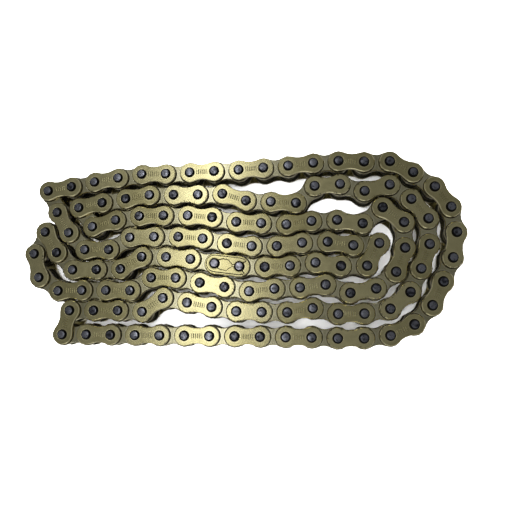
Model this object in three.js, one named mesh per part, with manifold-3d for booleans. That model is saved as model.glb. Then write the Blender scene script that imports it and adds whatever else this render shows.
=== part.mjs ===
// A heavy motorcycle drive chain of 12.7 mm pitch, joined into a loop of 132 links and laid
// flat on its side in eight nested rows, with its pins upright.
//
// Odd pins start an outer link and even pins start an inner link. An outer link is two plates
// on two pins. An inner link is two plates on two bushes, and a roller turns on each bush.
// The outer strand, from pin 16 round the right-hand turn and along the bottom row to pin 37,
// is free to swing, so each of its links and rollers is a piece of its own. The nested rows
// inside it are held by their neighbours, so each of those is one run of links.
import * as THREE from "three";
import { mergeVertices } from "three/addons/utils/BufferGeometryUtils.js";
import Module from "manifold-3d";

const wasm = await Module();
wasm.setup();

// Driving dimensions, in millimetres.
const PITCH = 12.7;
const INNER_WIDTH = 7.94;
const PLATE_THICKNESS = 2;
const PLATE_PLAY = 0.1;
const INNER_EYE = 11.6;
const INNER_WAIST = 8.2;
const OUTER_EYE = 10.4;
const OUTER_WAIST = 7.8;
const PIN_DIAMETER = 4.45;
const PIN_PLAY = 0.05;
const PIN_PROUD = 1.3;
const BUSH_WALL = 0.925;
const ROLLER_WALL = 1.025;
const ROLLER_PLAY = 0.08;
const ROLLER_END_PLAY = 0.15;
const PRESS_GAP = 0.03;
const RUN_JOIN = 0.2;

// The spring clip and the grooves of the two connecting pins.
const CLIP_THICKNESS = 0.9;
const CLIP_WIDTH = 8.8;
const CLIP_WINDOW = 5.2;
const CLIP_SLIT = 0.4;
const CLIP_TIP = 2.8;
const CLIP_PLAY = 0.1;
const CLIP_FORK_END = 50;
const CLIP_FORK_ROOT = 170;
const GROOVE_DIAMETER = 3.4;
const PIN_CAP = 0.8;

// How round the faceted pieces are.
const PIN_SIDES = 6;
const ROLLER_SIDES = 6;
const EYE_STEPS = 3;
const CLIP_ARC_STEP = 30;
const RUN_PIN_SIDES = 5;
const RUN_ROLLER_SIDES = 4;
const RUN_EYE_STEPS = 3;

// The lay: where chosen pins lie, as [pin, x, y] at a pitch of LAY_PITCH. The pins between two
// of these lie evenly between them until the chain settles.
const LINKS = 132;
const LAY_PITCH = 12.7;
const ROW_GAP = 0.3;
const SETTLE_PASSES = 600;
const LAY = [
  // outer row, left to right
  [1, -101, 30.5], [3, -76, 35], [5, -51, 38.5], [9, 0, 40.5], [13, 50.5, 44], [15, 75.5, 43.5],
  // outer turn
  [16, 87, 38], [17, 97.5, 30.5], [18, 105, 20.5], [19, 107.5, 8], [20, 105.5, -4.5],
  [21, 100.5, -16.5], [22, 95, -28], [23, 86.5, -37], [24, 75, -42.5],
  // row 8, right to left
  [25, 62.5, -44], [29, 11.5, -44], [33, -39, -44], [37, -90, -44],
  // row 7, left to right
  [38, -86.5, -32], [40, -61, -31.5], [41, -48.5, -32], [42, -38, -25], [44, -13, -29.5],
  [45, -0.5, -31.5], [47, 25, -32], [48, 37.5, -29.5], [49, 50, -32.5], [50, 62.5, -32],
  [51, 75, -29.5],
  // second turn
  [52, 85, -21.5], [53, 90, -10], [54, 94.5, 2], [55, 94, 14.5], [56, 85.5, 24.5],
  [57, 75.5, 31.5],
  // row 2, right to left
  [58, 63, 28.5], [59, 51, 32.5], [60, 38.5, 31.5], [61, 29, 23], [63, 4, 24.5], [64, -8.5, 28],
  [67, -46.5, 27.5], [69, -71.5, 24], [70, -84, 21.5],
  // row 3, left to right
  [71, -76.5, 11.5], [72, -64, 14.5], [73, -51.5, 17], [75, -26, 17], [76, -13.5, 16],
  [77, -1, 13.5], [79, 24.5, 12], [80, 37, 14], [81, 49.5, 14], [82, 62, 12.5],
  // third turn
  [83, 72, 20.5], [84, 82.5, 13], [85, 82.5, 0], [86, 78, -11.5], [87, 68.5, -20],
  // row 6, right to left
  [88, 56, -22], [89, 44, -18], [91, 18.5, -20], [92, 6, -21.5], [94, -19, -17.5],
  [95, -31.5, -15], [96, -44.5, -15], [97, -55, -21.5], [99, -80.5, -21.5], [100, -93, -22],
  // left turn
  [101, -104, -15], [102, -107, -2.5], [103, -101.5, 9], [104, -95, -2],
  // row 5, left to right
  [105, -86, -11], [107, -60.5, -10.5], [108, -49.5, -4], [110, -24, -5.5], [111, -11.5, -7.5],
  [112, 1, -9], [114, 26.5, -8.5], [115, 39, -7], [116, 51.5, -9], [117, 64, -8.5],
  // row 4, right to left
  [118, 70, 2.5], [119, 57.5, 1.5], [120, 45, 3], [121, 32.5, 2.5], [122, 19.5, 1],
  [123, 7, 1], [124, -5.5, 2.5], [125, -18, 5], [126, -30.5, 6], [128, -56, 6],
  [129, -67, -0.5], [130, -80, -0.5],
  // back to the first pin
  [131, -89, 8.5], [132, -95.5, 19], [133, -101, 30.5],
];

// Where the free strand begins and ends, and the connecting link's first pin.
const STRAND_START = 16;
const STRAND_END = 37;
const CLIP_PIN = 111;

// A bush is a wall round its pin, and a roller is a wall round its bush.
const BUSH_DIAMETER = PIN_DIAMETER + 2 * BUSH_WALL;
const ROLLER_BORE = BUSH_DIAMETER + 2 * ROLLER_PLAY;
const ROLLER_DIAMETER = ROLLER_BORE + 2 * ROLLER_WALL;

// Heights, from the ends of the pins on the floor.
const STACK = PIN_PROUD + 2 * PLATE_THICKNESS + PLATE_PLAY;
const MIDDLE = STACK + INNER_WIDTH / 2;
const TOP = 2 * MIDDLE;
const OUTER_FACE = TOP - PIN_PROUD;

function settle() {
  const pins = [];
  for (let stretch = 1; stretch < LAY.length; stretch += 1) {
    const [firstPin, firstX, firstY] = LAY[stretch - 1];
    const [lastPin, lastX, lastY] = LAY[stretch];
    for (let pin = firstPin; pin < lastPin; pin += 1) {
      const share = (pin - firstPin) / (lastPin - firstPin);
      const x = firstX + (lastX - firstX) * share;
      const y = firstY + (lastY - firstY) * share;
      pins.push(new THREE.Vector2(x, y).multiplyScalar(PITCH / LAY_PITCH));
    }
  }
  const pull = (a, b, length) => {
    const half = b.clone().sub(a);
    half.multiplyScalar(0.5 * (1 - length / half.length()));
    a.add(half);
    b.sub(half);
  };
  const eyesApart = INNER_EYE + ROW_GAP;
  const waistApart = (INNER_EYE + INNER_WAIST) / 2 + ROW_GAP;
  for (let pass = 0; pass < SETTLE_PASSES; pass += 1) {
    for (let first = 0; first < LINKS; first += 1) {
      const next = (first + 1) % LINKS;
      const middle = pins[first].clone().add(pins[next]).multiplyScalar(0.5);
      const before = middle.clone();
      for (let other = 0; other < LINKS; other += 1) {
        const apart = Math.min(Math.abs(other - first), LINKS - Math.abs(other - first));
        if (apart > 2 && middle.distanceTo(pins[other]) < waistApart) {
          pull(middle, pins[other], waistApart);
        }
        if (apart > 1 && other > first && pins[first].distanceTo(pins[other]) < eyesApart) {
          pull(pins[first], pins[other], eyesApart);
        }
      }
      const push = middle.sub(before);
      pins[first].add(push);
      pins[next].add(push);
    }
    for (let pin = 0; pin < LINKS; pin += 1) {
      pull(pins[pin], pins[(pin + 1) % LINKS], PITCH);
    }
  }
  const box = new THREE.Box2().setFromPoints(pins);
  const centre = box.getCenter(new THREE.Vector2());
  return pins.map((pin) => pin.sub(centre));
}

const PINS = settle();

function pinAt(number) {
  return PINS[(number - 1) % LINKS];
}

// The place and heading of the link that starts at a pin.
function linkPlace(number) {
  const start = pinAt(number);
  const end = pinAt(number + 1);
  const middle = start.clone().add(end).multiplyScalar(0.5);
  return { x: middle.x, y: middle.y, angle: end.clone().sub(start).angle() };
}

function isOuter(number) {
  return number % 2 === 1;
}

function toSolid(geometry) {
  const bare = geometry.clone();
  bare.deleteAttribute("normal");
  bare.deleteAttribute("uv");
  const merged = mergeVertices(bare, 1e-4);
  return new wasm.Manifold(new wasm.Mesh({
    numProp: 3,
    vertProperties: new Float32Array(merged.attributes.position.array),
    triVerts: new Uint32Array(merged.index.array),
  }));
}

function toGeometry(solid) {
  const mesh = solid.getMesh();
  const geometry = new THREE.BufferGeometry();
  geometry.setAttribute("position", new THREE.BufferAttribute(mesh.vertProperties, 3));
  geometry.setIndex(new THREE.BufferAttribute(mesh.triVerts, 1));
  geometry.computeVertexNormals();
  return geometry;
}

function joined(geometries) {
  return geometries.map(toSolid).reduce((whole, solid) => whole.add(solid));
}

function slab(shape, bottom, height) {
  const geometry = new THREE.ExtrudeGeometry(shape, { depth: height, bevelEnabled: false });
  return geometry.translate(0, 0, bottom);
}

function polygonPoints(radius, sides) {
  const points = [];
  for (let side = 0; side < sides; side += 1) {
    const angle = (2 * Math.PI * (side + 0.5)) / sides;
    points.push(new THREE.Vector2(radius * Math.cos(angle), radius * Math.sin(angle)));
  }
  return points;
}

// An upright prism whose corners lie on the radius.
function post(radius, bottom, top, sides, x = 0) {
  const shape = new THREE.Shape(polygonPoints(radius, sides));
  return slab(shape, bottom, top - bottom).translate(x, 0, 0);
}

// The corner radius of a bore whose flats stay clear of a round thing of this diameter.
function boreRadius(diameter, play, sides) {
  return (diameter / 2 + play) / Math.cos(Math.PI / sides);
}

// A plate's outline: a round eye at each pin, joined by two hollow flanks that are arcs
// tangent to both eyes. A waist as high as the eye gives straight flanks.
function plateOutline(eye, waist, steps) {
  const radius = eye / 2;
  const half = PITCH / 2;
  let opening = Math.PI / 2;
  if (waist < eye) {
    const flank = (half ** 2 + (waist / 2) ** 2 - radius ** 2) / (eye - waist);
    opening = Math.atan2(waist / 2 + flank, half);
  }
  const points = [];
  for (const end of [0, Math.PI]) {
    const from = -(Math.PI - opening);
    for (let step = 0; step <= steps; step += 1) {
      const angle = end + from - 2 * from * (step / steps);
      const x = Math.cos(end) * half + radius * Math.cos(angle);
      points.push(new THREE.Vector2(x, radius * Math.sin(angle)));
    }
    if (waist < eye) {
      points.push(new THREE.Vector2(0, (Math.cos(end) * waist) / 2));
    }
  }
  return new THREE.Shape(points);
}

const PLATE_LEVELS = {
  outer: [PIN_PROUD, OUTER_FACE - PLATE_THICKNESS],
  inner: [STACK - PLATE_THICKNESS, MIDDLE + INNER_WIDTH / 2],
};

function outerLink() {
  const outline = plateOutline(OUTER_EYE, OUTER_WAIST, EYE_STEPS);
  const pieces = PLATE_LEVELS.outer.map((level) => slab(outline, level, PLATE_THICKNESS));
  for (const side of [-0.5, 0.5]) {
    pieces.push(post(PIN_DIAMETER / 2, 0, TOP, PIN_SIDES, side * PITCH));
  }
  return joined(pieces);
}

function pinBore(x) {
  const radius = boreRadius(PIN_DIAMETER, PIN_PLAY, PIN_SIDES);
  return post(radius, -PIN_PROUD, TOP + PIN_PROUD, PIN_SIDES, x);
}

function innerLink() {
  const outline = plateOutline(INNER_EYE, INNER_WAIST, EYE_STEPS);
  const [low, high] = PLATE_LEVELS.inner;
  const pieces = [low, high].map((level) => slab(outline, level, PLATE_THICKNESS));
  for (const side of [-0.5, 0.5]) {
    pieces.push(post(BUSH_DIAMETER / 2, low, high + PLATE_THICKNESS, PIN_SIDES, side * PITCH));
  }
  const bores = joined([pinBore(-PITCH / 2), pinBore(PITCH / 2)]);
  return joined(pieces).subtract(bores);
}

function roller() {
  const shape = new THREE.Shape(polygonPoints(ROLLER_DIAMETER / 2, ROLLER_SIDES));
  const bore = polygonPoints(boreRadius(ROLLER_BORE, 0, ROLLER_SIDES), ROLLER_SIDES);
  shape.holes.push(new THREE.Path(bore));
  const bottom = STACK + ROLLER_END_PLAY;
  return slab(shape, bottom, INNER_WIDTH - 2 * ROLLER_END_PLAY);
}

const STEEL = { metalness: 0.9, roughness: 0.4 };
const brass = new THREE.MeshStandardMaterial({ ...STEEL, color: 0xa89a63 });
const paleBrass = new THREE.MeshStandardMaterial({ ...STEEL, color: 0xbdb07c });
const pinSteel = new THREE.MeshStandardMaterial({ ...STEEL, color: 0x3c4048 });
const rollerSteel = new THREE.MeshStandardMaterial({ ...STEEL, color: 0x26251f });

const chain = new THREE.Group();

function addMesh(parent, name, geometry, material) {
  const mesh = new THREE.Mesh(geometry, material);
  mesh.name = name;
  parent.add(mesh);
  return mesh;
}

function linkGroup(number) {
  const group = new THREE.Group();
  const place = linkPlace(number);
  group.position.set(place.x, place.y, 0);
  group.rotation.z = place.angle;
  chain.add(group);
  return group;
}

// The free strand, one piece for each link and each roller.
function addStrand() {
  const outer = toGeometry(outerLink());
  const inner = toGeometry(innerLink());
  for (let number = STRAND_START; number < STRAND_END; number += 1) {
    const kind = isOuter(number) ? "outer" : "inner";
    const geometry = isOuter(number) ? outer : inner;
    const group = linkGroup(number);
    addMesh(group, `${kind}_link_${number}`, geometry, isOuter(number) ? brass : paleBrass);
  }
  const ring = roller();
  for (let number = STRAND_START; number <= STRAND_END; number += 1) {
    const mesh = addMesh(chain, `roller_${number}`, ring, rollerSteel);
    mesh.position.set(pinAt(number).x, pinAt(number).y, 0);
  }
}

// A nested run of links from one pin to another, as one piece: its pins are tight in its
// bushes. A run that ends in an inner link is bored there for the next run's pin.
function runOfLinks(first, last) {
  const outlines = {
    outer: plateOutline(OUTER_EYE, OUTER_WAIST, RUN_EYE_STEPS),
    inner: plateOutline(INNER_EYE, INNER_WAIST, RUN_EYE_STEPS),
  };
  const pieces = [];
  const bores = [];
  for (let number = first; number < last; number += 1) {
    const kind = isOuter(number) ? "outer" : "inner";
    const place = linkPlace(number);
    const put = (geometry) => geometry.rotateZ(place.angle).translate(place.x, place.y, 0);
    const atEnd = number === first || number === last - 1;
    for (const [bottom, top] of runPlates(number, atEnd)) {
      pieces.push(put(slab(outlines[kind], bottom, top - bottom)));
    }
    for (const end of [number, number + 1]) {
      const x = end === number ? -PITCH / 2 : PITCH / 2;
      if (isOuter(number)) {
        pieces.push(...pinPosts(end, atEnd).map((piece) => put(piece.translate(x, 0, 0))));
      } else {
        const bottom = STACK - RUN_JOIN;
        pieces.push(put(post(ROLLER_DIAMETER / 2, bottom, TOP - bottom, RUN_ROLLER_SIDES, x)));
        if (end === first || end === last) {
          bores.push(put(pinBore(x)));
        }
      }
    }
  }
  const run = joined(pieces);
  return bores.length > 0 ? run.subtract(joined(bores)) : run;
}

// The heights of a link's two plates in a run. Inside a run the outer plates are joined to the
// inner ones, and at a run's end they keep their play from the next piece.
function runPlates(number, atEnd) {
  if (!isOuter(number)) {
    return [[STACK - PLATE_THICKNESS, STACK], [TOP - STACK, TOP - STACK + PLATE_THICKNESS]];
  }
  const inside = PIN_PROUD + PLATE_THICKNESS + (atEnd ? 0 : PLATE_PLAY + RUN_JOIN);
  return [[PIN_PROUD, inside], [TOP - inside, OUTER_FACE]];
}

// A run's pin: its two riveted ends, and on a run's last link the shank between its plates. At
// the free strand's end there is no shank, so that the strand can leave it.
function pinPosts(number, atEnd) {
  const radius = PIN_DIAMETER / 2;
  if (atEnd && number !== STRAND_END) {
    return [post(radius, 0, TOP, RUN_PIN_SIDES)];
  }
  const length = PIN_PROUD + RUN_JOIN;
  return [post(radius, 0, length, RUN_PIN_SIDES), post(radius, TOP - length, TOP, RUN_PIN_SIDES)];
}

const RUNS = [
  ["outer_row_links", 1, STRAND_START],
  ["row_7_links", STRAND_END, 51],
  ["row_2_and_turn_links", 51, 70],
  ["row_3_links", 70, 84],
  ["row_6_and_left_turn_links", 84, CLIP_PIN - 1],
  ["row_5_and_row_4_links", CLIP_PIN + 1, LINKS + 1],
];

function addRuns() {
  for (const [name, first, last] of RUNS) {
    addMesh(chain, name, toGeometry(runOfLinks(first, last)), brass);
  }
}

// The inner link beside the connecting link, in its six separate pieces.
function addSplitInnerLink() {
  const number = CLIP_PIN - 1;
  const group = linkGroup(number);
  const outline = plateOutline(INNER_EYE, INNER_WAIST, EYE_STEPS);
  const seat = BUSH_DIAMETER / 2 + PRESS_GAP;
  for (const side of [-0.5, 0.5]) {
    const hole = polygonPoints(seat, PIN_SIDES).reverse();
    outline.holes.push(new THREE.Path(hole.map((point) => point.setX(point.x + side * PITCH))));
  }
  const [low, high] = PLATE_LEVELS.inner;
  addMesh(group, "inner_plate_lower", slab(outline, low, PLATE_THICKNESS), paleBrass);
  addMesh(group, "inner_plate_upper", slab(outline, high, PLATE_THICKNESS), paleBrass);
  const bush = new THREE.Shape(polygonPoints(BUSH_DIAMETER / 2, PIN_SIDES));
  const bore = polygonPoints(boreRadius(PIN_DIAMETER, PIN_PLAY, PIN_SIDES), PIN_SIDES);
  bush.holes.push(new THREE.Path(bore));
  const length = INNER_WIDTH + 2 * PLATE_THICKNESS;
  for (const end of [number, number + 1]) {
    const x = end === number ? -PITCH / 2 : PITCH / 2;
    addMesh(group, `bush_${end}`, slab(bush, low, length), pinSteel).position.x = x;
    addMesh(group, `roller_${end}`, roller(), rollerSteel).position.x = x;
  }
}

// A connecting pin: riveted in the back plate, with a groove for the clip under its cap.
function connectingPin() {
  const radius = PIN_DIAMETER / 2;
  const grooveTop = OUTER_FACE + CLIP_THICKNESS + 2 * CLIP_PLAY;
  return joined([
    post(radius, 0, OUTER_FACE, PIN_SIDES),
    post(GROOVE_DIAMETER / 2, OUTER_FACE, grooveTop, PIN_SIDES),
    post(radius, grooveTop, grooveTop + PIN_CAP, PIN_SIDES),
  ]);
}

// The clip's outline: a closed end round the first pin, a window between the pins, a slit, and
// a fork round the second pin. Half of it is drawn, and the other half is its mirror image. The
// way from the closed end to the window is as wide as the pin's groove, so that the clip slides.
function clipOutline() {
  const firstPin = -PITCH / 2;
  const secondPin = PITCH / 2;
  const edge = CLIP_WIDTH / 2;
  const throat = GROOVE_DIAMETER / 2 + CLIP_PLAY;
  const window = CLIP_WINDOW / 2;
  const half = [];
  const corner = (x, y) => half.push(new THREE.Vector2(x, y));
  const arc = (x, radius, from, to) => {
    const steps = Math.ceil(Math.abs(to - from) / CLIP_ARC_STEP);
    for (let step = 0; step <= steps; step += 1) {
      const angle = THREE.MathUtils.degToRad(from + ((to - from) * step) / steps);
      corner(x + radius * Math.cos(angle), radius * Math.sin(angle));
    }
  };
  arc(firstPin, edge, 180, 90);
  arc(secondPin, edge, 90, CLIP_FORK_END);
  corner(secondPin + CLIP_TIP, throat);
  arc(secondPin, throat, 90, CLIP_FORK_ROOT);
  corner(window, CLIP_SLIT / 2);
  corner(0, window);
  corner(-window, window);
  arc(firstPin, throat, 90, 180);
  const mirrored = half.slice(1, -1).reverse().map((point) => new THREE.Vector2(point.x, -point.y));
  return new THREE.Shape([...half, ...mirrored]);
}

function addConnectingLink() {
  const group = linkGroup(CLIP_PIN);
  const seat = PIN_DIAMETER / 2 + PRESS_GAP;
  const back = plateOutline(OUTER_EYE, OUTER_WAIST, EYE_STEPS);
  const cover = plateOutline(OUTER_EYE, OUTER_EYE, EYE_STEPS);
  for (const outline of [back, cover]) {
    for (const side of [-0.5, 0.5]) {
      const points = polygonPoints(seat, PIN_SIDES).reverse();
      const path = points.map((point) => point.setX(point.x + side * PITCH));
      outline.holes.push(new THREE.Path(path));
    }
  }
  const [low, high] = PLATE_LEVELS.outer;
  addMesh(group, "connecting_back_plate", slab(back, low, PLATE_THICKNESS), brass);
  addMesh(group, "connecting_cover_plate", slab(cover, high, PLATE_THICKNESS), brass);
  const pin = toGeometry(connectingPin());
  for (const end of [CLIP_PIN, CLIP_PIN + 1]) {
    const mesh = addMesh(group, `connecting_pin_${end}`, pin, pinSteel);
    mesh.position.x = end === CLIP_PIN ? -PITCH / 2 : PITCH / 2;
  }
  const clip = slab(clipOutline(), OUTER_FACE + CLIP_PLAY, CLIP_THICKNESS);
  addMesh(group, "spring_clip", clip, paleBrass);
}

addStrand();
addRuns();
addSplitInnerLink();
addConnectingLink();

export default chain;
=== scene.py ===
import bpy
import numpy as np
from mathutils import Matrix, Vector


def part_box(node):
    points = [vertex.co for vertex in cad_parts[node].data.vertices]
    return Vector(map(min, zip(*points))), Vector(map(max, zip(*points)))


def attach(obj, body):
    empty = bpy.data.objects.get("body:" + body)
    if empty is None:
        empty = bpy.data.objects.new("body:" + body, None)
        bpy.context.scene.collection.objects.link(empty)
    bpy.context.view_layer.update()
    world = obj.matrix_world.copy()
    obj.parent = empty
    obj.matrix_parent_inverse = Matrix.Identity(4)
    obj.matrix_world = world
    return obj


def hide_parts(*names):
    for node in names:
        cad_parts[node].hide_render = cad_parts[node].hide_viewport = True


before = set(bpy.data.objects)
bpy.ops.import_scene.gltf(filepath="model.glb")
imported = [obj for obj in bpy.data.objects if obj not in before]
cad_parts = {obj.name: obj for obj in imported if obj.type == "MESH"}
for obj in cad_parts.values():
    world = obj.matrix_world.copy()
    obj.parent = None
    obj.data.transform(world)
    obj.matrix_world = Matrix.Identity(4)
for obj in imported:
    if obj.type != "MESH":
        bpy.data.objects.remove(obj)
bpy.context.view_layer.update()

# The lay
#
# The chain is a loop of 132 links on its side in eight nested rows, with its pins upright. Pin
# places come from the strand's rollers, and from the flat pin ends on top of each nested run, put
# in order one pitch at a time. Places seen from above are complex numbers, in metres.

PITCH = 0.0127
LINKS = 132
STRAND_START = 16
STRAND_END = 37
CLIP_PIN = 111
LEVEL_SLACK = 1e-6
RUNS = {  # each nested run: its first link, its last link, and the first pin whose ends it holds
    "row_7": (37, 50, 37),
    "row_2_and_turn": (51, 69, 51),
    "row_3": (70, 83, 71),
    "row_6_and_left_turn": (84, 109, 85),
    "row_5_and_row_4": (112, 132, 113),
    "outer_row": (1, 15, 1),
}


def centre_of(node):
    """The middle of a CAD node's box, seen from above."""
    low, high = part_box(node)
    return complex(low.x + high.x, low.y + high.y) / 2


def pin_ends(node):
    """The middles of the flat pin ends on top of a CAD node: its triangles at its highest level,
    gathered where they lie within half a pitch of each other and averaged by area."""
    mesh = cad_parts[node].data
    mesh.calc_loop_triangles()
    corners = np.empty(3 * len(mesh.vertices))
    mesh.vertices.foreach_get("co", corners)
    order = np.empty(3 * len(mesh.loop_triangles), int)
    mesh.loop_triangles.foreach_get("vertices", order)
    points = corners.reshape(-1, 3)[order.reshape(-1, 3)]
    top = points[points[:, :, 2].min(1) > points[:, :, 2].max() - LEVEL_SLACK]
    flat = top[:, :, 0] + 1j * top[:, :, 1]
    areas = abs(((flat[:, 1] - flat[:, 0]).conj() * (flat[:, 2] - flat[:, 0])).imag)
    middles = flat.mean(1)
    shares = (abs(middles[:, None] - middles) < PITCH / 2) * areas
    gathered = shares @ middles / shares.sum(1)
    return gathered[np.unique((shares > 0).argmax(1))]


def in_order(here, places):
    """The places put in order: each next one lies one pitch from the one before."""
    ordered = []
    left = list(places)
    while left:
        here = min(left, key=lambda place: abs(abs(place - here) - PITCH))
        left.remove(here)
        ordered.append(here)
    return ordered


pins = {number: centre_of(f"roller_{number}") for number in range(STRAND_START, STRAND_END + 1)}
pins[CLIP_PIN + 1] = centre_of(f"connecting_pin_{CLIP_PIN + 1}")
for run, (first_link, last_link, first_pin) in RUNS.items():
    before = pins[(first_pin - 2) % LINKS + 1]
    pins.update(enumerate(in_order(before, pin_ends(f"{run}_links")), first_pin))
pins[CLIP_PIN] = centre_of(f"connecting_pin_{CLIP_PIN}")
starts = np.array([pins[number] for number in range(1, LINKS + 1)])
ends = np.roll(starts, -1)
middles = (starts + ends) / 2
headings = (ends - starts) / abs(ends - starts)


# The bushes
#
# A bush is a short steel tube pressed into the two plates of an inner link. The pin turns in it
# and the roller turns on it. Its end faces are ground flush with the plates.

BUSH_DIAMETER = 0.0063
BUSH_BORE = 0.00455
BUSH_SIDES = 16
SHARP_ANGLE = np.radians(30)
FINE_CHAMFER = 0.0001
INNER_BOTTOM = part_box("inner_plate_lower")[0].z
INNER_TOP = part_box("inner_plate_upper")[1].z
BUSH_STEEL = (0.17, 0.16, 0.14, 1)
BUSH_STEEL_DARK = (0.05, 0.045, 0.04, 1)
# Painted shade: the black of the crevice round each pin end and bush end.
CREVICE_SHADE_BLACK = (0.008, 0.008, 0.008, 1)
RIM_START = 0.38
RIM_END = 0.42
TURNING_SIZE = 0.00012
PATCH_SIZE = 0.0015
DOME_HEIGHT = 0.00015

dice = np.random.default_rng(7)


def circle(diameter, sides):
    """Points and outward normals round a circle: radius and 1, each times e to the i angle."""
    normals = np.exp(2j * np.pi * np.arange(sides) / sides)
    return normals * diameter / 2, normals


def carried(outline, profile, closed=False):
    """A profile carried round an outline. The point at profile step v and outline step u is the
    outline's point u moved out along its normal by the profile's offset v, at the profile's
    height v. A closed profile joins its last step to its first, as in a tube. An open one gets
    a flat cap at each end."""
    points, normals = outline
    offsets, heights = np.array(profile).T
    flat = points + offsets[:, None] * normals
    index = np.arange(flat.size).reshape(flat.shape)
    lower = index if closed else index[:-1]
    upper = np.roll(index, -1, 0) if closed else index[1:]
    bands = [lower, np.roll(lower, -1, 1), np.roll(upper, -1, 1), upper]
    caps = [] if closed else [index[0, ::-1], index[-1]]
    return flat.ravel(), np.repeat(heights, len(points)), np.stack(bands, -1).reshape(-1, 4), caps


def piece(name, shapes, spots, turns, finish, slot, body="root", node=None):
    """One object made of copies of each shape. A copy's point is its spot plus its turn times
    the shape's flat point, at the shape's height. The flat point is kept as the UV map, and
    each copy has a tone of its own between 0 and 1."""
    spots, turns = np.atleast_1d(spots), np.atleast_1d(turns)
    vertices, locals_, tones, faces, count = [], [], [], [], 0
    for flat, heights, bands, caps in shapes:
        placed = (spots[:, None] + turns[:, None] * flat).ravel()
        vertices.append(np.stack([placed.real, placed.imag, np.tile(heights, len(spots))], 1))
        locals_.append(np.tile(flat, len(spots)))
        tones.append(np.repeat(dice.random(len(spots)), len(flat)))
        shifts = count + len(flat) * np.arange(len(spots))
        for group in (bands, caps):
            if len(group):
                shifted = shifts[:, None, None] + np.array(group)
                faces += shifted.reshape(-1, shifted.shape[-1]).tolist()
        count += placed.size
    mesh = bpy.data.meshes.new(name)
    mesh.from_pydata(np.concatenate(vertices).tolist(), [], faces)
    corners = np.empty(len(mesh.loops), int)
    mesh.loops.foreach_get("vertex_index", corners)
    flat = np.concatenate(locals_)[corners]
    mesh.uv_layers.new(name="flat").data.foreach_set("uv", np.stack([flat.real, flat.imag], 1).ravel())
    mesh.attributes.new("tone", "FLOAT", "POINT").data.foreach_set("value", np.concatenate(tones))
    mesh.polygons.foreach_set("use_smooth", np.ones(len(mesh.polygons), bool))
    mesh.set_sharp_from_angle(angle=SHARP_ANGLE)
    mesh.materials.append(finish)
    made = bpy.data.objects.new(name, mesh)
    bpy.context.collection.objects.link(made)
    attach(made, body)
    if node:
        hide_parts(node)
    return made


class Wire:
    """A socket of a material's nodes. An expression on wires adds the Math nodes for it."""

    def __init__(self, tree, socket=None):
        self.tree = tree
        self.socket = socket

    def node(self, kind, settings=None, inputs=None, output=0):
        """Adds a node. Its settings are set first, then each input takes a value or a wire."""
        made = self.tree.nodes.new(f"ShaderNode{kind}")
        for name, value in (settings or {}).items():
            setattr(made, name, value)
        for name, value in (inputs or {}).items():
            if isinstance(value, Wire):
                self.tree.links.new(value.socket, made.inputs[name])
            else:
                made.inputs[name].default_value = value
        return Wire(self.tree, made.outputs[output])

    def math(self, operation, *values):
        return self.node("Math", {"operation": operation}, dict(enumerate(values)))

    def __add__(self, other):
        return self.math("ADD", self, other)

    def __sub__(self, other):
        return self.math("SUBTRACT", self, other)

    def __rsub__(self, other):
        return self.math("SUBTRACT", other, self)

    def __mul__(self, other):
        return self.math("MULTIPLY", self, other)

    def __abs__(self):
        return self.math("ABSOLUTE", self)

    __radd__ = __add__
    __rmul__ = __mul__

    def rise(self, start, end):
        """0 below start and 1 above end, smooth between. With start above end it falls."""
        ends = {"Value": self, "From Min": start, "From Max": end}
        return self.node("MapRange", {"interpolation_type": "SMOOTHSTEP"}, ends)

    def pick(self, first, second):
        """The first colour where this wire is 0 and the second where it is 1."""
        mixed = {0: self, 6: first, 7: second}
        return self.node("Mix", {"data_type": "RGBA"}, mixed, output=2)

    def into(self, shader, name):
        self.tree.links.new(self.socket, shader.inputs[name])


def finish_of(name, metallic):
    """A new material, its shader, and a bare wire to add nodes from."""
    material = bpy.data.materials.new(name)
    material.use_nodes = True
    shader = material.node_tree.nodes["Principled BSDF"]
    shader.inputs["Metallic"].default_value = metallic
    return material, shader, Wire(material.node_tree)


def clouds(wire, size, detail=2.0, place=None):
    """Noise between about 0.3 and 0.7 with patches of a size in metres, on Object coordinates."""
    place = place or wire.node("TexCoord", output=3)
    return wire.node("TexNoise", None, {"Vector": place, "Scale": 1 / size, "Detail": detail})


def bump(wire, shader, height, depth):
    """Raises the surface by height, which runs from 0 to 1, times a depth in metres."""
    wire.node("Bump", None, {"Height": height, "Distance": depth}).into(shader, "Normal")


def turned_steel(name, light, dark, diameter, roughness):
    """Ground steel with a slightly domed end, with turning marks round its axis and patches of oil.
    Its rim is painted black: painted shade of the crevice round the end."""
    material, shader, wire = finish_of(name, metallic=0.9)
    flat = wire.node("UVMap", {"uv_map": "flat"})
    out = wire.node("VectorMath", {"operation": "LENGTH"}, {0: flat}, output=1)
    rim = out.rise(RIM_START * diameter, RIM_END * diameter)
    dome = 1 - out.math("POWER", out * (2 / diameter), 2.0)
    turning = clouds(wire, TURNING_SIZE, 1.0, wire.node("CombineXYZ", None, {0: out}))
    patches = clouds(wire, PATCH_SIZE, 4.0)
    tone = wire.node("Attribute", {"attribute_name": "tone"}, output=2)
    shade = (patches - 0.5) * 3.0 + (turning - 0.5) * 0.9 + tone * 0.6 + 0.1
    colour = shade.rise(0.0, 1.1).pick(light, dark)
    # The end's rim is painted black: painted shade of the crevice round it.
    rim.pick(colour, CREVICE_SHADE_BLACK).into(shader, "Base Color")
    (roughness + (patches - 0.5) * 0.5 + rim * 0.25).into(shader, "Roughness")
    bump(wire, shader, dome * 0.8 + turning * 0.12 + patches * 0.08, DOME_HEIGHT)
    return material


def tube(bore, diameter, bottom, top, chamfer, sides):
    """A tube with chamfered outer rims: its profile goes up outside and down the bore."""
    inside = (bore - diameter) / 2
    profile = [(-chamfer, bottom), (0, bottom + chamfer), (0, top - chamfer), (-chamfer, top)]
    return carried(circle(diameter, sides), [*profile, (inside, top), (inside, bottom)], closed=True)


def is_outer(link):
    return link % 2 == 1


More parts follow.
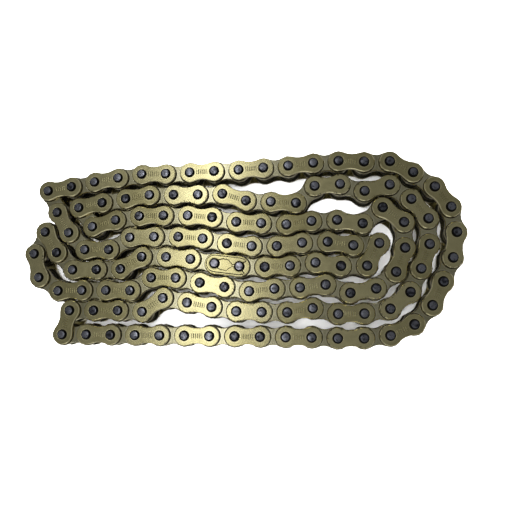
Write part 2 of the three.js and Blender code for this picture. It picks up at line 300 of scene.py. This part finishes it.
def links_of(run):
    first_link, last_link, _ = RUNS[run]
    return range(first_link, last_link + 1)


def at_pins(numbers):
    """The places of numbered pins, and the headings of the links that start at them."""
    steps = (np.array(numbers) - 1) % LINKS
    return starts[steps], headings[steps]


strand_pins = set(range(STRAND_START, STRAND_END + 1))
split_pins = {CLIP_PIN - 1, CLIP_PIN}
nested_pins = sorted(set(range(1, LINKS + 1)) - strand_pins - split_pins)
strand_links = range(STRAND_START, STRAND_END)

bush_steel = turned_steel("bush_steel", BUSH_STEEL, BUSH_STEEL_DARK, BUSH_DIAMETER, 0.35)
bush = [tube(BUSH_BORE, BUSH_DIAMETER, INNER_BOTTOM, INNER_TOP, FINE_CHAMFER, BUSH_SIDES)]
piece("nested_bushes", bush, *at_pins(nested_pins), bush_steel, "pin_steel")
for number in split_pins:
    name = f"bush_{number}"
    piece(f"{name}_tube", bush, *at_pins([number]), bush_steel, "pin_steel", node=name)
for link in strand_links:
    if not is_outer(link):
        body = f"inner_link_{link}"
        piece(f"{body}_bushes", bush, *at_pins([link, link + 1]), bush_steel, "pin_steel", body)


# The rollers
#
# A hardened steel roller runs loose on each bush between the inner plates, where a sprocket's
# tooth meets it. It is dark with oil, and polished in a band round its middle.

ROLLER_DIAMETER = 0.00851
ROLLER_BORE = 0.00646
ROLLER_SIDES = 18
ROLLER_CHAMFER = 0.0004
ROLLER_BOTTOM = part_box("roller_110")[0].z
ROLLER_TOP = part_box("roller_110")[1].z
ROLLER_STEEL = (0.12, 0.105, 0.075, 1)
ROLLER_OILY = (0.018, 0.015, 0.01, 1)
BAND_INSIDE = 0.0018
BAND_OUTSIDE = 0.0034
OIL_RUN_SIZE = 0.002
OIL_RUN_DEPTH = 0.00004


def oiled_steel():
    """Dark oiled steel: bare in a band at half height, black towards both ends, with runs."""
    material, shader, wire = finish_of("oiled_roller_steel", metallic=0.95)
    place = wire.node("TexCoord", output=3)
    height = wire.node("SeparateXYZ", None, {0: place}, output=2)
    middle = (ROLLER_BOTTOM + ROLLER_TOP) / 2
    band = abs(height - middle).rise(BAND_OUTSIDE, BAND_INSIDE)
    runs = clouds(wire, OIL_RUN_SIZE, 4.0)
    bare = band * (runs - 0.25) * 1.8
    bare.rise(0.0, 1.0).pick(ROLLER_OILY, ROLLER_STEEL).into(shader, "Base Color")
    (0.42 - band * 0.14 + (runs - 0.5) * 0.4).into(shader, "Roughness")
    bump(wire, shader, runs, OIL_RUN_DEPTH)
    return material


roller_steel = oiled_steel()
roller = [tube(ROLLER_BORE, ROLLER_DIAMETER, ROLLER_BOTTOM, ROLLER_TOP, ROLLER_CHAMFER, ROLLER_SIDES)]
piece("nested_rollers", roller, *at_pins(nested_pins), roller_steel, "roller_steel")
for number in sorted(strand_pins | split_pins):
    name = f"roller_{number}"
    piece(f"{name}_ring", roller, *at_pins([number]), roller_steel, "roller_steel", name, name)


# The plates
#
# Each link has two steel plates, stamped to a figure of eight with a rolled edge and plated in
# yellow brass. Inner plates are pressed on the bushes. Outer plates are riveted on the pins and
# carry a row of short strokes as a batch mark. Dirt specks gather towards the rims. Light and shade
# are painted on as well: a black ring round each pin, and on inner plates just outside each outer
# plate's edge, is painted shade; the side walls are painted darker as shade; the rolled rims are
# painted lighter, a painted highlight along with their wear; and a lighter ring round each pin is a
# painted highlight.

INNER_EYE = 0.0116
INNER_WAIST = 0.0082
OUTER_EYE = 0.0104
OUTER_WAIST = 0.0078
EYE_STEPS = 9
FLANK_STEPS = 4
PLATE_ROLL = 0.00035
PIN_DIAMETER = 0.00445
# In each plating, the rim colour makes the rolled rims lighter, a painted highlight with their wear,
# and a ring round each pin lighter, a painted highlight; the wall colour is painted shade.
OUTER_PLATING = {
    "pale": (0.62, 0.57, 0.31, 1),
    "olive": (0.40, 0.36, 0.17, 1),
    "wear_and_painted_light_and_shade": (0.80, 0.74, 0.46, 1),
    "shaded_wall": (0.42, 0.35, 0.15, 1),
}
INNER_PLATING = {
    "pale": (0.54, 0.51, 0.33, 1),
    "olive": (0.34, 0.32, 0.19, 1),
    "wear_and_painted_light_and_shade": (0.74, 0.70, 0.50, 1),
    "shaded_wall": (0.30, 0.26, 0.13, 1),
}
# Dark colour of dirt specks and engraved strokes, and also of painted shade: the black rings round the
# pins and the clip's black rims and walls.
GRIME_AND_SHADE = (0.010, 0.009, 0.006, 1)
MARK_SPACING = 0.0011
MARK_WIDTH = 0.0004
MARK_HEIGHT = 0.0024
MARK_REACH = 0.0028
# Radii of the painted shade rings: on outer plates the crevice's shade round each pin, on inner plates
# the shadow just outside each outer plate's edge.
OUTER_SHADE_RADIUS = PIN_DIAMETER / 2 + 0.0003
INNER_SHADE_RADIUS = OUTER_EYE / 2 + 0.0002
INNER_BLACKNESS = 0.85
SHADE_RING_EDGE = 0.0002
COLLAR_WIDTH = 0.001
CLOUD_SIZE = 0.045
STAIN_SIZE = 0.0035
SPECK_SIZE = 0.0009
GRAIN_SIZE = 0.00035
STREAK_SCALE = (300, 3200, 1)
PLATING_DEPTH = 0.00005


def flank_of(eye, waist):
    """The radius of a flank's arc, and the angle at an eye between the plate's length and the
    line to the arc's centre: the arc is tangent to both eyes and passes the waist."""
    half = PITCH / 2
    radius = (half**2 + (waist / 2) ** 2 - (eye / 2) ** 2) / (eye - waist)
    return radius, np.arctan2(waist / 2 + radius, half)


def plate_outline(eye, waist):
    """Points and outward normals round a plate. Half of it is an arc about the right pin and a
    flank arc about a point above the plate's middle, and the rest is that half turned round."""
    radius, opening = flank_of(eye, waist)
    round_pin = np.exp(1j * np.linspace(opening - np.pi, np.pi - opening, EYE_STEPS + 1))
    across = np.exp(-1j * np.linspace(opening, np.pi - opening, FLANK_STEPS + 1)[1:-1])
    above = 1j * (waist / 2 + radius)
    points = np.concatenate([PITCH / 2 + eye / 2 * round_pin, above + radius * across])
    normals = np.concatenate([round_pin, -across])
    return np.concatenate([points, -points]), np.concatenate([normals, -normals])


def rolled(outline, bottom, top, roll):
    """A flat solid between two heights with its rims taken off at 45 degrees by a roll."""
    profile = [(-roll, bottom), (0, bottom + roll), (0, top - roll), (-roll, top)]
    return carried(outline, profile)


def rim_distance(wire, flat, eye, waist):
    """How far in from the plate's rim a point lies: from the nearer eye's circle beyond the
    flanks' ends, and from the flank's circle between them."""
    radius, opening = flank_of(eye, waist)
    along = abs(wire.node("SeparateXYZ", None, {0: flat}))
    across = abs(wire.node("SeparateXYZ", None, {0: flat}, output=1))
    from_pin = wire.node("CombineXYZ", None, {0: along - PITCH / 2, 1: across})
    pin_distance = wire.node("VectorMath", {"operation": "LENGTH"}, {0: from_pin}, output=1)
    from_flank = wire.node("CombineXYZ", None, {0: along, 1: waist / 2 + radius - across})
    flank_distance = wire.node("VectorMath", {"operation": "LENGTH"}, {0: from_flank}, output=1)
    flank_end = PITCH / 2 - eye / 2 * np.cos(opening)
    beyond = along.math("GREATER_THAN", along, flank_end)
    rim = beyond * (eye / 2 - pin_distance) + (1 - beyond) * (flank_distance - radius)
    return along, across, pin_distance, rim


def plating(name, colours, eye, waist, shade_radius, blackness=1, marked=False):
    """Yellow plating on stamped steel: pale and olive patches, streaks along the plate, dirt specks
    towards the rims, and engraved strokes in the middle. Painted light and shade: rims lighter, a
    painted highlight with their wear; walls darker, painted shade; a black ring of painted shade at a
    radius round each pin; and a lighter ring just outside it, a painted highlight."""
    material, shader, wire = finish_of(name, metallic=1.0)
    flat = wire.node("UVMap", {"uv_map": "flat"})
    along, across, pin_distance, rim = rim_distance(wire, flat, eye, waist)
    tone = wire.node("Attribute", {"attribute_name": "tone"}, output=2)
    up = abs(wire.node("SeparateXYZ", None, {0: wire.node("NewGeometry", output=1)}, output=2))
    wall = up.rise(0.6, 0.1)
    cloud = clouds(wire, CLOUD_SIZE, 3.0)
    stains = clouds(wire, STAIN_SIZE, 5.0)
    grain = clouds(wire, GRAIN_SIZE, 3.0)
    stretched = wire.node("Mapping", None, {"Vector": flat, "Scale": STREAK_SCALE})
    streaks = wire.node("TexNoise", None, {"Vector": stretched, "Scale": 1.0, "Detail": 2.0})
    shade = (cloud - 0.5) * 1.4 + (tone - 0.5) * 0.7 + (stains - 0.5) * 0.5
    shade = shade + (streaks - 0.5) * 0.35 + (grain - 0.5) * 0.3 + 0.5
    colour = shade.rise(-0.2, 1.2).pick(colours["olive"], colours["pale"])
    # The rolled rims are painted lighter: a painted highlight, together with their wear.
    bevel = up.rise(0.95, 0.85) * (1 - wall)
    colour = (bevel * 0.7).pick(colour, colours["wear_and_painted_light_and_shade"])
    # The side walls are painted darker: painted shade.
    colour = wall.pick(colour, colours["shaded_wall"])
    # A black ring at this radius round each pin is painted shade.
    ring = pin_distance.rise(shade_radius + SHADE_RING_EDGE, shade_radius)
    ring = ring * (pin_distance.rise(shade_radius - 0.0012, shade_radius - 0.0006) * 0.5 + 0.5) * blackness
    # Just outside the black ring, a lighter ring round each pin is a painted highlight.
    collar = pin_distance.rise(shade_radius + COLLAR_WIDTH, shade_radius + 0.0003) * (1 - ring)
    colour = (collar * 0.35 * (1 - wall)).pick(colour, colours["wear_and_painted_light_and_shade"])
    specks = clouds(wire, SPECK_SIZE, 4.0)
    dirt = (specks - rim * 120).rise(0.5, 0.6) * tone.rise(0.5, 0.9) * 0.8
    shade_ring_and_strokes = ring
    if marked:
        from_stroke = abs(along.math("FRACT", along * (1 / MARK_SPACING)) - 0.5) * MARK_SPACING
        stroke = from_stroke.rise(MARK_WIDTH * 0.7, MARK_WIDTH * 0.3)
        stroke = stroke * along.math("LESS_THAN", along, MARK_REACH)
        stroke = stroke * across.math("LESS_THAN", across, MARK_HEIGHT / 2)
        mark = stroke * tone.math("LESS_THAN", tone, 0.75) * up.rise(0.9, 1.0)
        shade_ring_and_strokes = ring.math("MAXIMUM", ring, mark * 0.5)
    # Dirt specks and engraved strokes darken the plating, and so does the painted shade ring.
    colour = dirt.math("MAXIMUM", dirt, shade_ring_and_strokes).pick(colour, GRIME_AND_SHADE)
    colour.into(shader, "Base Color")
    rough = 0.23 + (stains - 0.5) * 0.1 + (streaks - 0.5) * 0.08 + wall * 0.1 + shade_ring_and_strokes * 0.3
    rough.into(shader, "Roughness")
    bump(wire, shader, stains * 0.3 + grain * 0.1 + streaks * 0.1 - shade_ring_and_strokes * 0.8 + 0.6, PLATING_DEPTH)
    return material


def plate_levels(lower, upper):
    """The bottom and top heights of a lower and an upper CAD plate."""
    return [(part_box(node)[0].z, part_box(node)[1].z) for node in (lower, upper)]


inner_levels = plate_levels("inner_plate_lower", "inner_plate_upper")
outer_levels = plate_levels("connecting_back_plate", "connecting_cover_plate")
inner_outline = plate_outline(INNER_EYE, INNER_WAIST)
outer_outline = plate_outline(OUTER_EYE, OUTER_WAIST)
inner_plates = [rolled(inner_outline, *level, PLATE_ROLL) for level in inner_levels]
outer_plates = [rolled(outer_outline, *level, PLATE_ROLL) for level in outer_levels]
inner_finish = plating(
    "inner_plating", INNER_PLATING, INNER_EYE, INNER_WAIST, INNER_SHADE_RADIUS, INNER_BLACKNESS,
)
outer_finish = plating(
    "outer_plating", OUTER_PLATING, OUTER_EYE, OUTER_WAIST, OUTER_SHADE_RADIUS, marked=True,
)


def on_links(numbers):
    """The middles and headings of numbered links."""
    steps = np.array(numbers) - 1
    return middles[steps], headings[steps]


for run in RUNS:
    inner = [link for link in links_of(run) if not is_outer(link)]
    outer = [link for link in links_of(run) if is_outer(link)]
    piece(f"{run}_inner_plates", inner_plates, *on_links(inner), inner_finish, "brass_plate")
    piece(
        f"{run}_outer_plates", outer_plates, *on_links(outer), outer_finish, "brass_plate",
        node=f"{run}_links",
    )
for link in strand_links:
    shapes, finish = (outer_plates, outer_finish) if is_outer(link) else (inner_plates, inner_finish)
    name = f"{'outer' if is_outer(link) else 'inner'}_link_{link}"
    piece(f"{name}_plates", shapes, *on_links([link]), finish, "brass_plate", name, name)
for shape, name in zip(inner_plates, ("inner_plate_lower", "inner_plate_upper")):
    place = on_links([CLIP_PIN - 1])
    piece(f"{name}_plated", [shape], *place, inner_finish, "brass_plate", node=name)


# The pins
#
# A pin is blued steel, riveted at both ends in the outer plates and standing a little proud of
# them. Its ends are chamfered. Where the loop is open, at the free strand's end, only the two
# riveted ends are there, so that the last inner link can swing away.

PIN_SIDES = 16
PIN_CHAMFER = 0.0003
RIVET_DEPTH = 0.001
PIN_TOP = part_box("outer_link_17")[1].z
PIN_STEEL = (0.24, 0.25, 0.29, 1)
PIN_STEEL_DARK = (0.02, 0.021, 0.027, 1)

pin_steel = turned_steel("blued_pin_steel", PIN_STEEL, PIN_STEEL_DARK, PIN_DIAMETER, 0.28)
pin = [rolled(circle(PIN_DIAMETER, PIN_SIDES), 0, PIN_TOP, PIN_CHAMFER)]
strand_outer = [link for link in strand_links if is_outer(link)]
strand_riveted = {number for link in strand_outer for number in (link, link + 1)}
not_nested = strand_riveted | {STRAND_END, CLIP_PIN, CLIP_PIN + 1}
nested_riveted = sorted(set(range(1, LINKS + 1)) - not_nested)
piece("nested_pins", pin, *at_pins(nested_riveted), pin_steel, "pin_steel")
rivet_levels = (0, outer_levels[0][0] + RIVET_DEPTH), (outer_levels[1][1] - RIVET_DEPTH, PIN_TOP)
rivets = [rolled(circle(PIN_DIAMETER, PIN_SIDES), *level, PIN_CHAMFER) for level in rivet_levels]
piece("open_pin_rivets", rivets, *at_pins([STRAND_END]), pin_steel, "pin_steel")
for link in strand_outer:
    body = f"outer_link_{link}"
    piece(f"{body}_pins", pin, *at_pins([link, link + 1]), pin_steel, "pin_steel", body)


# The connecting link
#
# Its two pins are riveted in a back plate. A straight-sided cover plate drops over them, and
# each pin has a groove above it for the spring clip, under a cap of the pin's full diameter.

NEARLY_STRAIGHT = 0.00002  # a waist this much under the eye gives flanks of nearly no curve
COVER_WAIST = OUTER_EYE - NEARLY_STRAIGHT
CLIP_PLAY = 0.0001
GROOVE_DIAMETER = 0.0034
GROOVE_BOTTOM = outer_levels[1][1]
GROOVE_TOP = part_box("spring_clip")[1].z + CLIP_PLAY
CAP_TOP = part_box("connecting_pin_111")[1].z
CONNECTING_STEEL = (0.42, 0.42, 0.48, 1)
CONNECTING_STEEL_DARK = (0.06, 0.06, 0.07, 1)

back_plate = [outer_plates[0]]
cover_outline = plate_outline(OUTER_EYE, COVER_WAIST)
cover_plate = [rolled(cover_outline, *outer_levels[1], PLATE_ROLL)]
cover_finish = plating("cover_plating", OUTER_PLATING, OUTER_EYE, COVER_WAIST, OUTER_SHADE_RADIUS)
place = on_links([CLIP_PIN])
back = "connecting_back_plate"
piece(f"{back}_plated", back_plate, *place, outer_finish, "brass_plate", node=back)
cover = "connecting_cover_plate"
piece(f"{cover}_plated", cover_plate, *place, cover_finish, "brass_plate", node=cover)

neck = (GROOVE_DIAMETER - PIN_DIAMETER) / 2
grooved = [
    (-PIN_CHAMFER, 0), (0, PIN_CHAMFER), (0, GROOVE_BOTTOM), (neck, GROOVE_BOTTOM),
    (neck, GROOVE_TOP), (0, GROOVE_TOP), (0, CAP_TOP - PIN_CHAMFER), (-PIN_CHAMFER, CAP_TOP),
]
grooved_pin = [carried(circle(PIN_DIAMETER, PIN_SIDES), grooved)]
bright_steel = turned_steel(
    "ground_pin_steel", CONNECTING_STEEL, CONNECTING_STEEL_DARK, PIN_DIAMETER, 0.3,
)
for number in (CLIP_PIN, CLIP_PIN + 1):
    name = f"connecting_pin_{number}"
    piece(f"{name}_ground", grooved_pin, *at_pins([number]), bright_steel, "pin_steel", node=name)


# The spring clip
#
# The clip is stamped from spring steel and plated like the plates, with its rims and walls painted
# black as shade. Its closed end sits in the groove of the first pin, its fork snaps into the groove
# of the second, and a window and a slit between them let the two arms spread.

CLIP_WIDTH = 0.0088
CLIP_THROAT = GROOVE_DIAMETER + 2 * CLIP_PLAY
CLIP_WINDOW = 0.0052
CLIP_SLIT = 0.0004
CLIP_MOUTH = 45
CLIP_ARC_STEP = 15
CLIP_ROLL = 0.00045
# The clip's rims and walls, and rings round the pins, are painted black: painted shade drawing the
# shadow lines along its edges.
CLIP_PLATING = {**OUTER_PLATING, "wear_and_painted_light_and_shade": GRIME_AND_SHADE, "shaded_wall": GRIME_AND_SHADE}


def clip_outline():
    """Points and outward normals round the clip. The upper half goes over the closed end and
    the arm to the fork's tip, and back round both grooves and the window; the lower half is its
    mirror image. A normal is at right angles to the line between a point's two neighbours."""
    first, second = -PITCH / 2, PITCH / 2

    def arc(middle, diameter, start, end):
        angles = np.linspace(start, end, round(abs(end - start) / CLIP_ARC_STEP) + 1)
        return middle + diameter / 2 * np.exp(1j * np.radians(angles))

    upper = np.concatenate([
        arc(first, CLIP_WIDTH, 180, 90),
        arc(second, CLIP_WIDTH, 90, CLIP_MOUTH),
        arc(second, CLIP_THROAT, CLIP_MOUTH, 165),
        [(CLIP_WINDOW + 1j * CLIP_SLIT) / 2, 0.5j * CLIP_WINDOW, (-1 + 1j) * CLIP_WINDOW / 2],
        arc(first, CLIP_THROAT, 60, 180),
    ])
    points = np.concatenate([upper, upper[1:-1][::-1].conj()])[::-1]
    tangents = np.roll(points, -1) - np.roll(points, 1)
    return points, -1j * tangents / abs(tangents)


clip_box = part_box("spring_clip")
clip = [rolled(clip_outline(), clip_box[0].z, clip_box[1].z, CLIP_ROLL)]
clip_waist = CLIP_WIDTH - NEARLY_STRAIGHT
clip_finish = plating("clip_plating", CLIP_PLATING, CLIP_WIDTH, clip_waist, OUTER_SHADE_RADIUS)
piece("spring_clip_plated", clip, *place, clip_finish, "clip_steel", "spring_clip", "spring_clip")


# The studio
#
# A white floor in a room with pale walls and a dim ceiling, under a wide soft panel, a long lamp
# that brightens the plates a little left of the middle, and a low one for the near rims. The
# widest lamp lights the floor alone, which the camera sees but the chain does not mirror.

FLOOR_SIZE = 6.0
FLOOR_COLOUR = (0.94, 0.94, 0.94, 1)
CEILING_GLOW = 0.09
WALL_GLOW = 0.34
CEILING_STEEPNESS = 0.9
WALL_STEEPNESS = 0.6
PANEL_PLACE = (0, 0, 0.95)
PANEL_SIZE = (1.2, 1.2)
PANEL_POWER = 0.45
GLEAM_PLACE = (-0.18, 0, 0.92)
GLEAM_SIZE = (0.90, 0.09)
GLEAM_POWER = 1.1
EDGE_PLACE = (-0.10, -0.85, 0.20)
EDGE_SIZE = (0.6, 0.3)
EDGE_POWER = 0.3
PAPER_PLACE = (0, 0, 1.2)
PAPER_SIZE = (3.0, 3.0)
PAPER_POWER = 220
CAMERA_PLACE = (0.0395, -0.0370, 0.3149)
CAMERA_TURN = (6.38, 5.79, 0.62)
CAMERA_LENS = 42.2

corner = FLOOR_SIZE / 2
floor_mesh = bpy.data.meshes.new("floor")
floor_corners = [(-corner, -corner, 0), (corner, -corner, 0), (corner, corner, 0), (-corner, corner, 0)]
floor_mesh.from_pydata(floor_corners, [], [(0, 1, 2, 3)])
floor_finish, floor_shader, _ = finish_of("pale_floor", metallic=0)
floor_shader.inputs["Base Color"].default_value = FLOOR_COLOUR
floor_shader.inputs["Roughness"].default_value = 0.9
floor_mesh.materials.append(floor_finish)
floor = bpy.data.objects.new("floor", floor_mesh)
bpy.context.collection.objects.link(floor)
floor.visible_glossy = floor.visible_diffuse = False

scene = bpy.context.scene
scene.view_settings.view_transform = "Standard"
room = bpy.data.worlds.new("room")
room.use_nodes = True
background = room.node_tree.nodes["Background"]
background.inputs["Color"].default_value = (1, 1, 1, 1)
wire = Wire(room.node_tree)
steepness = wire.node("SeparateXYZ", None, {0: wire.node("TexCoord", output=0)}, output=2)
walls = steepness.rise(CEILING_STEEPNESS, WALL_STEEPNESS)
(walls * (WALL_GLOW - CEILING_GLOW) + CEILING_GLOW).into(background, "Strength")
scene.world = room


def lamp(name, place, size, power):
    """A soft lamp: a rectangle that faces the origin."""
    light = bpy.data.lights.new(name, "AREA")
    light.shape = "RECTANGLE"
    light.size, light.size_y = size
    light.energy = power
    made = bpy.data.objects.new(name, light)
    made.location = place
    made.rotation_euler = (-Vector(place)).to_track_quat("-Z", "Y").to_euler()
    bpy.context.collection.objects.link(made)
    return made


lamp("panel_lamp", PANEL_PLACE, PANEL_SIZE, PANEL_POWER)
lamp("gleam_lamp", GLEAM_PLACE, GLEAM_SIZE, GLEAM_POWER)
lamp("edge_lamp", EDGE_PLACE, EDGE_SIZE, EDGE_POWER)
lit_floor = bpy.data.collections.new("lit_floor")
lit_floor.objects.link(floor)
paper_lamp = lamp("paper_lamp", PAPER_PLACE, PAPER_SIZE, PAPER_POWER)
paper_lamp.light_linking.receiver_collection = lit_floor

camera_lens = bpy.data.cameras.new("camera")
camera_lens.lens = CAMERA_LENS
camera_lens.clip_start = 0.01
camera = bpy.data.objects.new("camera", camera_lens)
camera.location = CAMERA_PLACE
camera.rotation_euler = np.radians(CAMERA_TURN)
bpy.context.collection.objects.link(camera)
scene.camera = camera
